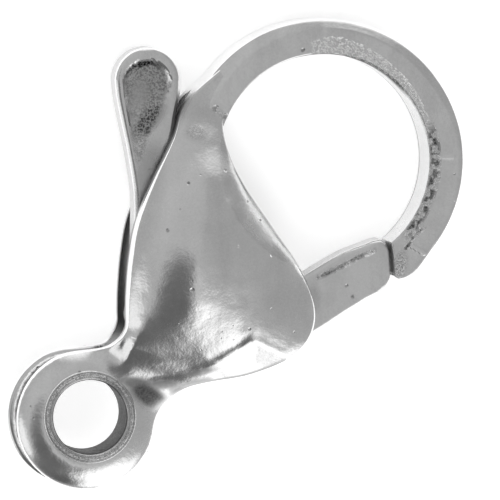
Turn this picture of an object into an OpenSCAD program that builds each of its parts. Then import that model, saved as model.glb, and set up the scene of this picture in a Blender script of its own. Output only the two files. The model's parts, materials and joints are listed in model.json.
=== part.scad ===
// Lobster clasp: a hooked body whose two domed shells hold a rocking lever and an eyelet.
// All pieces are drawn flat, with the eye's axis at the origin, and then laid down as the clasp rests.
// Drawn flat, +X points to the gate side, +Y to the hook and +Z to the front shell.

/* [Eye] */
// Radius of the hole that a jump ring goes through
eye_bore_r = 0.98; // [0.85:0.01:1.1]
// Wall of the hollow rivet that lines the hole
rivet_wall = 0.16; // [0.14:0.01:0.2]
// Width of the rivet's turned-over lip
lip_w = 0.09; // [0.07:0.01:0.15]
// Height of the lip over the ear
lip_h = 0.09; // [0.06:0.01:0.12]
// Outer radius of the two ears
ear_r = 1.92; // [1.75:0.01:2.05]
// How far the ears' middle lies beyond the hole, away from the hook
ear_shift = 0.08; // [0:0.01:0.12]
// Open space between the two ears
ear_gap = 0.68; // [0.5:0.01:0.85]

/* [Hook] */
// Radius of the round opening
hook_bore_r = 2.83; // [2.6:0.01:3.05]
// Width of the hook's band, seen from the front
hook_band = 0.93; // [0.8:0.01:1.1]
// Thickness of the hook, front to back
hook_t = 1.7; // [1.5:0.01:1.85]
// Width of the soft bevel round the outer edge
hook_bevel = 0.28; // [0.15:0.01:0.35]
// Width of the small bevel round the opening
hook_edge = 0.06; // [0.04:0.01:0.1]
// How far below the opening's middle the tip ends, in degrees
tip_angle = 57; // [52:1:60]

/* [Shells] */
// Thickness of the pressed shells and ears
sheet = 0.5; // [0.4:0.01:0.6]
// Width of the shells, rim to rim
shell_w = 5.03; // [4.6:0.01:5.5]
// Height of the shells, from the eye's axis to the hook's root
shell_h = 8.04; // [7.5:0.01:8.6]
// Open space between the two shells' rims
rim_gap = 1.44; // [1.35:0.01:1.6]
// How far the crown of a shell stands over its rim
shell_rise = 0.8; // [0.6:0.01:1]
// Rounding of the shells' edges
rim_round = 0.13; // [0.08:0.01:0.18]
// Width of the ears' rounded border
ear_round_w = 0.5; // [0.3:0.01:0.6]
// Drop of the ears' rounded border
ear_round_h = 0.32; // [0.2:0.01:0.38]

/* [Lever] */
// Thickness of the lever
lever_t = 1.05; // [0.9:0.01:1.1]
// Thickness of the gate arm
gate_t = 1.0; // [0.85:0.01:1.05]
// Rounding of the lever's edges
lever_bevel = 0.14; // [0.08:0.01:0.2]
// Pin to the middle of the thumb tab's round end
thumb_reach = 6.2; // [5.8:0.01:6.6]
// How far the thumb tab leans out, away from the gate
thumb_lean = 0.31; // [0.2:0.01:0.5]
// Radius of the thumb tab's round end
thumb_r = 0.84; // [0.75:0.01:0.95]
// Depth of the dished thumb rest
dish_depth = 0.16; // [0.1:0.01:0.22]
// Width of the gate
gate_w = 1.6; // [1.4:0.01:1.7]
// How far the gate's arm bows below the line from the pin to the hook's tip
gate_bow = 1.07; // [0.95:0.01:1.15]
// Clearance between the gate's end and the hook's tip
tip_clear = 0.06; // [0.05:0.01:0.12]

/* [Pin] */
// Radius of the pin
pin_r = 0.3; // [0.25:0.01:0.35]
// Clearance round the pin in the lever's bore
pin_clear = 0.04; // [0.02:0.01:0.06]

/* [Rest] */
// Turn that brings the clasp's length along Y, in degrees
rest_turn = 42.6; // [40:0.1:45]
// Tip towards the hook as the clasp lies on its back shell, in degrees
rest_pitch = -8.24; // [-12:0.01:0]
// Roll towards the gate side as it lies, in degrees
rest_roll = -2.78; // [-8:0.01:8]

/* [Hidden] */

steel = [0.72, 0.72, 0.73];
worn_steel = [0.66, 0.66, 0.67];
dark_steel = [0.5, 0.5, 0.52];

// Running fits of what is pressed or riveted in place
fit = 0.01;
// How far an end is buried in the metal that it joins
sink = 0.03;

// Heights over the middle plane
ear_out = ear_gap / 2 + sheet;
rim_out = rim_gap / 2 + sheet;

// Way from the ears to the shells, and where the ears' round begins on both sides of it
ear_way = 47;
ear_start = 34;

// The hook's circle meets the shells at this angle, at the neck
neck_angle = 157;
root_angle = 170;
neck = [0.632 * shell_w, shell_h];
hook_mid_r = hook_bore_r + hook_band / 2;
hook_out_r = hook_bore_r + hook_band;
hook_c = neck - hook_mid_r * [cos(neck_angle), sin(neck_angle)];

// The pin, its ends in blind holes in the shells, and the line from it to the hook's tip
pin = [0.378 * shell_w, 0.336 * shell_h];
tip = hook_c + hook_mid_r * [cos(tip_angle), -sin(tip_angle)];
swing_r = norm(tip - pin);
gate_reach = swing_r - tip_clear;
gate_dir = (tip - pin) / swing_r;
gate_side = [-gate_dir.y, gate_dir.x];
pin_half = rim_out + 0.41 * shell_rise;

// The hole in the ears, and the ears' middle
hole_r = eye_bore_r + rivet_wall + fit;
ear_c = -ear_shift * hook_c / norm(hook_c);

// Shell sections from the hook's root down to the eye. Columns: left x, left y, right x and right y
// as shares of shell_w and shell_h, how far the rim has risen to rim_out, the crown as a share of
// shell_rise, and where the crown lies between left and right
shell_rows = [
    [0.68, 1.14, 0.76, 1.045, 0, 0, 0.5],
    [0.52, 1.035, 0.7, 0.98, 0.12, 0, 0.6],
    [0.44, 0.92, 0.72, 0.885, 0.62, 0.12, 0.6],
    [0.325, 0.783, 0.805, 0.768, 0.92, 0.4, 0.56],
    [0.235, 0.644, 0.97, 0.616, 1, 0.7, 0.49],
    [0.2, 0.522, 1.097, 0.497, 1, 0.9, 0.45],
    [0.186, 0.41, 1.181, 0.367, 1, 1, 0.42],
    [0.184, 0.342, 1.157, 0.264, 1, 0.95, 0.42],
    [0.184, 0.3, 1.034, 0.189, 0.98, 0.72, 0.44],
    [0.163, 0.268, 0.835, 0.137, 0.9, 0.44, 0.48],
    [0.127, 0.245, 0.6, 0.111, 0.7, 0.2, 0.5],
    [0.083, 0.224, 0.447, 0.085, 0.3, 0.06, 0.5]
];

// Thumb arm, from the tab's middle to the pin. Columns: share of the way down, then the left and
// right half widths as shares of thumb_r
arm_rows = [
    [0, 1, 1],
    [0.07, 0.97, 0.96],
    [0.18, 0.87, 0.83],
    [0.31, 0.74, 0.71],
    [0.49, 0.63, 0.56],
    [0.68, 0.71, 0.56],
    [0.86, 0.84, 0.72],
    [1, 1.03, 1]
];

// Gate arm, from the pin to the gate's end. Columns: share of gate_reach along, share of gate_bow
// across, half width as a share of half gate_w
gate_rows = [
    [0, 0, 1],
    [0.167, -0.76, 0.9],
    [0.371, -0.97, 0.9],
    [0.563, -0.72, 0.94],
    [0.73, -0.38, 0.93],
    [0.835, -0.16, 0.9],
    [0.932, 0.04, 0.84],
    [0.975, 0.1, 0.74],
    [1, 0.12, 0.55]
];

shell_steps = 26;
shell_cols = 14;
ear_steps = 12;
arm_steps = 14;
gate_steps = 16;

// Smooth value of a table at share s of its length, through every row
function at(rows, s) =
    let (n = len(rows) - 1, k = min(floor(s * n), n - 1), u = s * n - k)
    let (b = rows[k], c = rows[k + 1])
    let (a = k > 0 ? rows[k - 1] : 2 * b - c, d = k < n - 1 ? rows[k + 2] : 2 * c - b)
    0.5 * (2 * b + (c - a) * u + (2 * a - 5 * b + 4 * c - d) * u * u
        + (3 * b - a - 3 * c + d) * u * u * u);

// Drop of a rounded edge of width w and height h, at a distance d in from it
function edge_drop(d, w, h) = d >= w ? 0 : h * (1 - sqrt(1 - pow(1 - max(d, 0) / w, 2)));

// Cross profile of a shell: 0 at the rims, 1 at the crown c
function dome(t, c) =
    let (u = t < c ? (c - t) / c : (t - c) / (1 - c))
    pow(max(0, 1 - pow(u, 2.2)), 0.85);

// Closed outline of a pressed sheet: out along the places, at their heights less the drops of the
// rounded edge, and back under them
function sheet_section(places, heights, drops) =
    let (n = len(places) - 1)
    concat(
        [for (j = [0:n]) [places[j].x, places[j].y, heights[j] - drops[j]]],
        [for (j = [n:-1:0]) [places[j].x, places[j].y, heights[j] - sheet]]
    );

// Shares across a section, closer together at its two edges
across = [for (j = [0:shell_cols]) (1 - cos(180 * j / shell_cols)) / 2];

// Section of the front shell at share s of its rows. Its edges are as soft as the hook's bevel
// where it leaves the hook, and as soft as the ears' border where it reaches them
function shell_section(s) =
    let (row = at(shell_rows, s), near_hook = max(0, 1 - 5 * s), near_ear = max(0, 5 * s - 4))
    let (round = rim_round + (hook_bevel - rim_round) * near_hook)
    let (round_w = round + (ear_round_w - round) * near_ear)
    let (round_h = round + (ear_round_h - round) * near_ear)
    let (left = [row[0] * shell_w, row[1] * shell_h], right = [row[2] * shell_w, row[3] * shell_h])
    let (base = (1 - s) * hook_t / 2 + s * ear_out - sink, span = norm(right - left))
    let (rim = base + row[4] * (rim_out - base))
    sheet_section(
        [for (t = across) left + t * (right - left)],
        [for (t = across) rim + row[5] * shell_rise * dome(t, row[6])],
        [for (t = across) edge_drop(min(t, 1 - t) * span, round_w, round_h)]
    );

// Section of the front ear, square to the way from the ear to the shell, at an angle round from it
function ear_section(angle) =
    let (way = [cos(ear_way), sin(ear_way)], side = [-way.y, way.x])
    let (middle = ear_c + ear_r * cos(angle) * way, half = ear_r * sin(angle) * side)
    let (places = [for (t = across) middle + (1 - 2 * t) * half])
    sheet_section(
        places,
        [for (p = places) ear_out],
        [for (p = places) edge_drop(ear_r - norm(p - ear_c), ear_round_w, ear_round_h)]
    );

// Outlines of the front shell with its ear, from the hook's root to the far side of the eye
shell_rings = concat(
    [for (i = [0:shell_steps]) shell_section(i / shell_steps)],
    [for (i = [0:ear_steps]) ear_section(ear_start + (176 - ear_start) * i / ear_steps)]
);

// A point turned, pitched and rolled as the clasp lies
function laid(p) =
    let (x = p.x * cos(rest_turn) - p.y * sin(rest_turn), y = p.x * sin(rest_turn) + p.y * cos(rest_turn))
    let (z = y * sin(rest_pitch) + p.z * cos(rest_pitch))
    [
        x * cos(rest_roll) + z * sin(rest_roll),
        y * cos(rest_pitch) - p.z * sin(rest_pitch),
        z * cos(rest_roll) - x * sin(rest_roll)
    ];

// Points of a flat circle on both sides of the middle plane
function both_rounds(c, r, h) =
    [for (a = [0:3:357], side = [-h, h]) laid([c.x + r * cos(a), c.y + r * sin(a), side])];

// Points that the clasp reaches out to, and the shift that puts the lowest on the floor and the
// middle over the origin
thumb_head = pin + [-thumb_lean, thumb_reach];
outer = concat(
    [for (ring = shell_rings, q = ring, side = [-1, 1]) laid([q.x, q.y, side * q.z])],
    both_rounds(hook_c, hook_out_r, hook_t / 2 - 1.2 * hook_bevel),
    both_rounds(hook_c, hook_out_r - hook_bevel, hook_t / 2),
    both_rounds(thumb_head, thumb_r, lever_t / 2 - lever_bevel)
);
rest_shift = -[
    (min([for (q = outer) q.x]) + max([for (q = outer) q.x])) / 2,
    (min([for (q = outer) q.y]) + max([for (q = outer) q.y])) / 2,
    min([for (q = outer) q.z])
];

// Way to the right of a run
function right_of(run) = [run.y, -run.x] / norm(run);

// Closed outline of a bar at a point: side is the way to its left, l and r its half widths,
// h its half thickness and b the rounding of its edges
function bar_section(point, side, l, r, h, b) =
    let (c = min(b, 0.45 * (l + r), 0.9 * h))
    [
        for (corner = [[1, 1], [-1, 1], [-1, -1], [1, -1]])
            for (step = corner.x * corner.y > 0 ? [0, 45, 90] : [90, 45, 0])
                let (w = (corner.x > 0 ? l : r) - c + c * cos(step))
                let (q = point + corner.x * w * side)
                [q.x, q.y, corner.y * (h - c + c * sin(step))]
    ];

// Closed skin over a list of outlines that each have the same number of points
module skin(rings) {
    n = len(rings);
    m = len(rings[0]);
    sides = [
        for (i = [0:n - 2], j = [0:m - 1], half = [0, 1])
            let (a = i * m + j, b = i * m + (j + 1) % m)
            half == 0 ? [a, b, b + m] : [a, b + m, a + m]
    ];
    first = [for (j = [m - 1:-1:0]) j];
    last = [for (j = [0:m - 1]) (n - 1) * m + j];
    polyhedron([for (ring = rings) each ring], concat(sides, [first, last]), convexity = 6);
}

// Bevelled band of the hook, from the shells to the tip
module band() {
    h = hook_t / 2;
    half = [
        [hook_bore_r, h - hook_edge],
        [hook_bore_r + hook_edge, h],
        [hook_out_r - hook_bevel, h],
        [hook_out_r - 0.45 * hook_bevel, h - 0.22 * hook_bevel],
        [hook_out_r - 0.13 * hook_bevel, h - 0.6 * hook_bevel],
        [hook_out_r, h - 1.2 * hook_bevel]
    ];
    translate([hook_c.x, hook_c.y, 0])
        rotate([0, 0, -tip_angle])
            rotate_extrude(angle = tip_angle + root_angle, $fn = 128)
                polygon(concat(half, [for (k = [len(half) - 1:-1:0]) [half[k].x, -half[k].y]]));
}

// Hook, its tip cleared along the swing of the gate's end
module hook() {
    difference() {
        band();
        intersection() {
            translate([pin.x, pin.y, -hook_t])
                cylinder(r = swing_r, h = 2 * hook_t, $fn = 256);
            translate([hook_c.x, hook_c.y - 2 * hook_out_r, -hook_t])
                cube([2 * hook_out_r, 2 * hook_out_r, 2 * hook_t]);
        }
    }
}

module body() {
    color(steel)
        lie()
            difference() {
                union() {
                    hook();
                    for (side = [0, 1])
                        mirror([0, 0, side])
                            skin(shell_rings);
                }
                translate([0, 0, -2 * ear_out])
                    cylinder(r = hole_r, h = 4 * ear_out, $fn = 96);
                translate([pin.x, pin.y, -pin_half - fit])
                    cylinder(r = pin_r + fit, h = 2 * (pin_half + fit), $fn = 48);
            }
}

// Thumb arm: a round end, then the tapering arm, then the round foot at the pin
module thumb_arm() {
    length = norm(thumb_head - pin);
    down = (pin - thumb_head) / length;
    side = right_of(down);
    foot_r = arm_rows[len(arm_rows) - 1][1] * thumb_r;
    ends = [80, 62, 44, 26, 12];
    top = [
        for (a = ends)
            let (w = thumb_r * cos(a), d = thumb_r * (1 - sin(a)))
            bar_section(thumb_head - thumb_r * sin(a) * down, side, w, w,
                lever_t / 2 - edge_drop(d, lever_bevel, lever_bevel), lever_bevel)
    ];
    middle = [
        for (i = [0:arm_steps])
            let (row = at(arm_rows, i / arm_steps))
            bar_section(thumb_head + row[0] * length * down, side, row[1] * thumb_r,
                row[2] * thumb_r, lever_t / 2, lever_bevel)
    ];
    foot = [
        for (k = [len(ends) - 1:-1:0])
            let (w = foot_r * cos(ends[k]), d = foot_r * (1 - sin(ends[k])))
            bar_section(pin + foot_r * sin(ends[k]) * down, side, w, w,
                lever_t / 2 - edge_drop(d, lever_bevel, lever_bevel), lever_bevel)
    ];
    skin(concat(top, middle, foot));
}

// Middle line of the gate's arm at share s of the table
function gate_point(s) =
    let (row = at(gate_rows, s))
    pin + row[0] * gate_reach * gate_dir + row[1] * gate_bow * gate_side;

// Gate arm, from the pin to the end that meets the hook's tip
module gate_arm() {
    skin([
        for (i = [0:gate_steps])
            let (s = i / gate_steps, row = at(gate_rows, s), d = 0.01)
            let (run = gate_point(min(1, s + d)) - gate_point(max(0, s - d)))
            let (w = row[2] * gate_w / 2, from_end = (1 - row[0]) * gate_reach)
            bar_section(gate_point(s), right_of(run), w, w,
                gate_t / 2 - edge_drop(from_end, lever_bevel, lever_bevel), lever_bevel)
    ]);
}

// Dished thumb rest: a drop shape that narrows down the arm
module dish() {
    translate([thumb_head.x, thumb_head.y, lever_t / 2])
        hull($fn = 32) {
            translate([-0.1 * thumb_r, -0.14 * thumb_r, 0])
                scale([0.75 * thumb_r, 0.75 * thumb_r, dish_depth])
                    sphere(1);
            translate([-0.3 * thumb_r, -2.6 * thumb_r, 0])
                scale([0.1 * thumb_r, 0.1 * thumb_r, 0.3 * dish_depth])
                    sphere(1);
        }
}

module lever() {
    color(worn_steel)
        lie()
            difference() {
                union() {
                    thumb_arm();
                    gate_arm();
                }
                dish();
                translate([pin.x, pin.y, -lever_t])
                    cylinder(r = pin_r + pin_clear, h = 2 * lever_t, $fn = 48);
            }
}

module pivot_pin() {
    color(dark_steel)
        lie()
            translate([pin.x, pin.y, -pin_half])
                cylinder(r = pin_r, h = 2 * pin_half, $fn = 48);
}

// Hollow rivet through both ears, its ends turned over into lips
module eyelet() {
    tube_r = eye_bore_r + rivet_wall;
    lip_foot = ear_out + fit;
    half = [
        [tube_r, lip_foot],
        [tube_r + lip_w, lip_foot],
        [tube_r + lip_w, lip_foot + 0.4 * lip_h],
        [tube_r + 0.6 * lip_w, lip_foot + lip_h],
        [eye_bore_r + 0.6 * rivet_wall, lip_foot + lip_h],
        [eye_bore_r, lip_foot + 0.3 * lip_h]
    ];
    color(worn_steel)
        lie()
            rotate_extrude($fn = 96)
                polygon(concat(half, [for (k = [len(half) - 1:-1:0]) [half[k].x, -half[k].y]]));
}

// Lays the clasp down on its back shell, the floor at z = 0
module lie() {
    translate(rest_shift)
        rotate([rest_pitch, rest_roll, 0])
            rotate([0, 0, rest_turn])
                children();
}

body();
lever();
pivot_pin();
eyelet();
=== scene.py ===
import json
import math

import bmesh
import bpy
import numpy as np
from mathutils import Matrix, Vector


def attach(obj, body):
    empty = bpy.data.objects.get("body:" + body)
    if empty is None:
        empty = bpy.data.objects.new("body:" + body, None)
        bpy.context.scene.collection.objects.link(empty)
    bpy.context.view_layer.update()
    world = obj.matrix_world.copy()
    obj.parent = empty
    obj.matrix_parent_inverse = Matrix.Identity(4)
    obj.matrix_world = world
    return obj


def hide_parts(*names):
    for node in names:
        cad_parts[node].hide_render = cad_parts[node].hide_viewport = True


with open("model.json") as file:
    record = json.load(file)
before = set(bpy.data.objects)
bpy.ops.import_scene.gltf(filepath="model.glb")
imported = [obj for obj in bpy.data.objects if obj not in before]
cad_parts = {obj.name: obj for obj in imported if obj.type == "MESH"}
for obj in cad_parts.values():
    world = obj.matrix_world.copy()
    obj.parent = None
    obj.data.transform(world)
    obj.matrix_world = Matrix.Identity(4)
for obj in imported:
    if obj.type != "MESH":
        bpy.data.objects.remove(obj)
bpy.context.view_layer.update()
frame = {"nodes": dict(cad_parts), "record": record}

mm = 0.001
print("frame loaded")

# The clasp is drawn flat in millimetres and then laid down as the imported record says. Drawn flat, the eye's
# axis is at the origin, +X points to the gate side, +Y to the hook and +Z to the front shell.


# Mesh tools

def direction(degrees):
    return np.array([math.cos(math.radians(degrees)), math.sin(math.radians(degrees))])


def softStep(value, low, high):
    u = np.clip((value - low) / (high - low), 0, 1)
    return u * u * (3 - 2 * u)


def softWindow(value, riseLow, riseHigh, fallLow, fallHigh):
    # soft rise to full, and soft fall again
    return softStep(value, riseLow, riseHigh) * (1 - softStep(value, fallLow, fallHigh))


def sampleRows(rows, share):
    # smooth value of a table at a share of its length, through every row
    table = np.array(rows, float)
    last = len(table) - 1
    k = min(int(share * last), last - 1)
    u = share * last - k
    b, c = table[k], table[k + 1]
    a = table[k - 1] if k > 0 else 2 * b - c
    d = table[k + 2] if k < last - 1 else 2 * c - b
    return 0.5 * (2 * b + (c - a) * u + (2 * a - 5 * b + 4 * c - d) * u * u
                  + (3 * b - a - 3 * c + d) * u ** 3)


def edgeDrop(depth, width, height, power=2.0):
    # how far a rounded edge falls at a distance in from the border
    inward = np.clip(1 - depth / width, 0, 1)
    return height * (1 - np.maximum(0, 1 - inward ** power) ** (1 / power))


def closedMesh(mesh):
    work = bmesh.new()
    work.from_mesh(mesh)
    bmesh.ops.remove_doubles(work, verts=work.verts, dist=1e-5)
    bmesh.ops.triangulate(work, faces=[f for f in work.faces if len(f.verts) > 4])
    bmesh.ops.recalc_face_normals(work, faces=work.faces)
    work.to_mesh(mesh)
    work.free()
    return mesh


def skinMesh(name, rings):
    # closed skin over outlines that each have the same number of points
    rings = np.array(rings, float)
    count, around = rings.shape[:2]
    faces = []
    for i in range(count - 1):
        for j in range(around):
            k = (j + 1) % around
            faces.append((i * around + j, i * around + k, (i + 1) * around + k, (i + 1) * around + j))
    faces.append(tuple(range(around)))
    faces.append(tuple((count - 1) * around + j for j in range(around)))
    mesh = bpy.data.meshes.new(name)
    mesh.from_pydata(rings.reshape(-1, 3).tolist(), [], faces)
    return closedMesh(mesh)


def newObject(name, mesh):
    piece = bpy.data.objects.new(name, mesh)
    bpy.context.scene.collection.objects.link(piece)
    return piece


def dropObject(piece):
    mesh = piece.data
    bpy.data.objects.remove(piece)
    bpy.data.meshes.remove(mesh)


def evaluatedMesh(piece):
    graph = bpy.context.evaluated_depsgraph_get()
    mesh = bpy.data.meshes.new_from_object(piece.evaluated_get(graph))
    mesh.name = piece.name
    return mesh


def combined(name, base, others, operation):
    # base with the other solids joined to it or cut from it
    piece = newObject(name, base)
    tools = []
    for k, mesh in enumerate(others):
        tools.append(newObject(f"{name}Tool{k}", mesh))
        modifier = piece.modifiers.new(f"join{k}", "BOOLEAN")
        modifier.operation = operation
        modifier.solver = "MANIFOLD"
        modifier.object = tools[-1]
    mesh = evaluatedMesh(piece)
    for item in [piece] + tools:
        dropObject(item)
    return mesh


def places(mesh):
    flat = np.zeros(len(mesh.vertices) * 3, np.float32)
    mesh.vertices.foreach_get("co", flat)
    return flat.reshape(-1, 3).astype(float)


def setPlaces(mesh, points):
    mesh.vertices.foreach_set("co", points.astype(np.float32).ravel())
    mesh.update()


def setMask(mesh, name, values):
    layer = mesh.attributes.new(name, "FLOAT", "POINT")
    layer.data.foreach_set("value", np.clip(values, 0, 1).astype(np.float32))


def markMask(points, marks):
    # soft ovals: x, y, half length, half width, turn in degrees, strength
    mask = np.zeros(len(points))
    for x, y, length, width, turn, strength in marks:
        along = direction(turn)
        dx, dy = points[:, 0] - x, points[:, 1] - y
        u = (dx * along[0] + dy * along[1]) / length
        v = (dy * along[0] - dx * along[1]) / width
        mask = np.maximum(mask, strength * (1 - softStep(np.hypot(u, v), 0.45, 1.15)))
    return mask


def alongWay(spots, start, way):
    # share of the way nearest to each spot, and the step from there to the spot
    share = np.clip((spots - start) @ way / (way @ way), 0, 1)
    return share, spots - start - share[:, None] * way


def lineMask(points, lines):
    # soft lines through places: the places, width, strength
    mask = np.zeros(len(points))
    for line, width, strength in lines:
        line = np.array(line, float)
        for a, b in zip(line[:-1], line[1:]):
            near = np.linalg.norm(alongWay(points[:, :2], a, b - a)[1], axis=1)
            mask = np.maximum(mask, strength * (1 - softStep(near / width, 0.4, 1.1)))
    return mask


# Geometry Nodes trees

def newTree(name, inputs):
    tree = bpy.data.node_groups.new(name, "GeometryNodeTree")
    tree.interface.new_socket(name="Geometry", in_out="INPUT", socket_type="NodeSocketGeometry")
    for label, kind, value in inputs:
        socket = tree.interface.new_socket(name=label, in_out="INPUT", socket_type="NodeSocket" + kind)
        if value is not None:
            socket.default_value = value
    tree.interface.new_socket(name="Geometry", in_out="OUTPUT", socket_type="NodeSocketGeometry")
    return tree, tree.nodes.new("NodeGroupInput"), tree.nodes.new("NodeGroupOutput")


def endTree(tree, source, groupIn, groupOut):
    real = tree.nodes.new("GeometryNodeRealizeInstances")
    coat = tree.nodes.new("GeometryNodeSetMaterial")
    tree.links.new(source, real.inputs["Geometry"])
    tree.links.new(real.outputs["Geometry"], coat.inputs["Geometry"])
    tree.links.new(groupIn.outputs["Material"], coat.inputs["Material"])
    tree.links.new(coat.outputs["Geometry"], groupOut.inputs["Geometry"])


def treeResult(name, mesh, tree, values):
    # what a tree makes of a mesh, as a plain mesh
    piece = newObject(name, mesh)
    modifier = piece.modifiers.new(tree.name, "NODES")
    modifier.node_group = tree
    for item in tree.interface.items_tree:
        if item.in_out == "INPUT" and item.name in values:
            modifier[item.identifier] = values[item.name]
    result = evaluatedMesh(piece)
    piece.modifiers.clear()
    dropObject(piece)
    return result


def sweepTree():
    # sweeps a profile, drawn as a loop of edges, along an arc round the Z axis
    tree, groupIn, groupOut = newTree("sweepRound", [
        ("Radius", "Float", 1.0),
        ("Start Angle", "Float", 0.0),
        ("Sweep Angle", "Float", 6.283),
        ("Steps", "Int", 64),
        ("Fill Ends", "Bool", False),
        ("Material", "Material", None),
    ])
    arc = tree.nodes.new("GeometryNodeCurveArc")
    arc.mode = "RADIUS"
    for label, socket in (("Radius", "Radius"), ("Start Angle", "Start Angle"),
                          ("Sweep Angle", "Sweep Angle"), ("Steps", "Resolution")):
        tree.links.new(groupIn.outputs[label], arc.inputs[socket])
    upright = tree.nodes.new("GeometryNodeSetCurveNormal")
    upright.mode = "Z_UP"
    tree.links.new(arc.outputs["Curve"], upright.inputs["Curve"])
    profile = tree.nodes.new("GeometryNodeMeshToCurve")
    tree.links.new(groupIn.outputs["Geometry"], profile.inputs["Mesh"])
    sweep = tree.nodes.new("GeometryNodeCurveToMesh")
    tree.links.new(groupIn.outputs["Fill Ends"], sweep.inputs["Fill Caps"])
    tree.links.new(upright.outputs["Curve"], sweep.inputs["Curve"])
    tree.links.new(profile.outputs["Curve"], sweep.inputs["Profile Curve"])
    endTree(tree, sweep.outputs["Mesh"], groupIn, groupOut)
    return tree


sweepRound = sweepTree()


def sweptMesh(name, profile, radius, start, sweep, steps):
    # profile points are distance from the axis and height
    points = [(x - radius, -z, 0.0) for x, z in profile]
    loop = bpy.data.meshes.new(name)
    loop.from_pydata(points, [(k, (k + 1) % len(points)) for k in range(len(points))], [])
    mesh = treeResult(name, loop, sweepRound, {
        "Radius": float(radius),
        "Start Angle": math.radians(start),
        "Sweep Angle": math.radians(sweep),
        "Steps": steps,
        "Fill Ends": sweep < 359,
    })
    return closedMesh(mesh)


def discMesh(name, middle, radius, low, high, sides=160):
    # upright round bar, to cut a hole with
    rings = []
    for height in (low, high):
        angles = np.arange(sides) * 2 * math.pi / sides
        rings.append(np.column_stack([middle[0] + radius * np.cos(angles),
                                      middle[1] + radius * np.sin(angles),
                                      np.full(sides, height)]))
    return skinMesh(name, rings)


print("tools ready")

# Finishes

def newGroup(name, inputs, outputs):
    group = bpy.data.node_groups.new(name, "ShaderNodeTree")
    for label, kind, value in inputs:
        socket = group.interface.new_socket(name=label, in_out="INPUT", socket_type="NodeSocket" + kind)
        if value is not None:
            socket.default_value = value
    for label, kind in outputs:
        group.interface.new_socket(name=label, in_out="OUTPUT", socket_type="NodeSocket" + kind)
    return group, group.nodes.new("NodeGroupInput"), group.nodes.new("NodeGroupOutput")


def mathNode(tree, operation, first, second=None):
    node = tree.nodes.new("ShaderNodeMath")
    node.operation = operation
    for socket, value in zip(node.inputs, (first, second)):
        if value is None:
            continue
        if isinstance(value, (int, float)):
            socket.default_value = value
        else:
            tree.links.new(value, socket)
    return node.outputs[0]


def noiseNode(tree, place, scale, detail, roughness=0.5):
    node = tree.nodes.new("ShaderNodeTexNoise")
    node.inputs["Detail"].default_value = detail
    node.inputs["Roughness"].default_value = roughness
    tree.links.new(place, node.inputs["Vector"])
    if isinstance(scale, (int, float)):
        node.inputs["Scale"].default_value = scale
    else:
        tree.links.new(scale, node.inputs["Scale"])
    return node.outputs[0]


def spreadNode(tree, value, low, high, toLow=0.0, toHigh=1.0):
    node = tree.nodes.new("ShaderNodeMapRange")
    node.interpolation_type = "SMOOTHSTEP"
    tree.links.new(value, node.inputs["Value"])
    for label, number in (("From Min", low), ("From Max", high), ("To Min", toLow), ("To Max", toHigh)):
        node.inputs[label].default_value = number
    return node.outputs["Result"]


def stretchNode(tree, place, scale):
    node = tree.nodes.new("ShaderNodeMapping")
    node.inputs["Scale"].default_value = scale
    tree.links.new(place, node.inputs["Vector"])
    return node.outputs["Vector"]


def tumbledGroup():
    # soft clouds, fine grain and long faint streaks of tumble-polished metal
    group, groupIn, groupOut = newGroup("tumbledGrain", [
        ("Place", "Vector", None),
        ("Cloud Scale", "Float", 1.4),
        ("Grain Scale", "Float", 20.0),
    ], [("Cloud", "Float"), ("Grain", "Float"), ("Streak", "Float")])
    place = groupIn.outputs["Place"]
    wide = noiseNode(group, place, groupIn.outputs["Cloud Scale"], 4, 0.55)
    fine = noiseNode(group, place, groupIn.outputs["Grain Scale"], 2, 0.6)
    long = noiseNode(group, stretchNode(group, place, (1.7, 0.28, 0.6)), 1.0, 3, 0.5)
    group.links.new(spreadNode(group, wide, 0.3, 0.7), groupOut.inputs["Cloud"])
    group.links.new(spreadNode(group, fine, 0.25, 0.75), groupOut.inputs["Grain"])
    group.links.new(spreadNode(group, long, 0.3, 0.7), groupOut.inputs["Streak"])
    return group


def pitGroup():
    # scattered small pits: their hollow and the dark that sits in them
    group, groupIn, groupOut = newGroup("smallPits", [
        ("Place", "Vector", None),
        ("Scale", "Float", 5.0),
        ("Amount", "Float", 0.2),
    ], [("Hollow", "Float"), ("Dark", "Float")])
    cells = group.nodes.new("ShaderNodeTexVoronoi")
    group.links.new(groupIn.outputs["Place"], cells.inputs["Vector"])
    group.links.new(groupIn.outputs["Scale"], cells.inputs["Scale"])
    parts = group.nodes.new("ShaderNodeSeparateColor")
    group.links.new(cells.outputs["Color"], parts.inputs["Color"])
    chosen = mathNode(group, "LESS_THAN", parts.outputs["Red"], groupIn.outputs["Amount"])
    size = mathNode(group, "MULTIPLY_ADD", parts.outputs["Green"], 0.16)
    size.node.inputs[2].default_value = 0.07
    near = mathNode(group, "DIVIDE", cells.outputs["Distance"], size)
    dip = spreadNode(group, near, 0.35, 1.0, 1.0, 0.0)
    hollow = mathNode(group, "MULTIPLY", dip, chosen)
    group.links.new(hollow, groupOut.inputs["Hollow"])
    group.links.new(mathNode(group, "MULTIPLY", hollow, parts.outputs["Blue"]), groupOut.inputs["Dark"])
    return group


def tornGroup():
    # coarse torn metal where the blank was sheared: dark hollows and bright raised threads
    group, groupIn, groupOut = newGroup("tornMetal", [
        ("Place", "Vector", None),
        ("Scale", "Float", 5.0),
    ], [("Hollow", "Float"), ("Thread", "Float")])
    place = groupIn.outputs["Place"]
    bend = noiseNode(group, place, groupIn.outputs["Scale"], 3, 0.55)
    ridge = mathNode(group, "ABSOLUTE", mathNode(group, "SUBTRACT", bend, 0.5))
    group.links.new(spreadNode(group, bend, 0.46, 0.52), groupOut.inputs["Hollow"])
    group.links.new(spreadNode(group, ridge, 0.0, 0.06, 1.0, 0.0), groupOut.inputs["Thread"])
    return group


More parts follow.
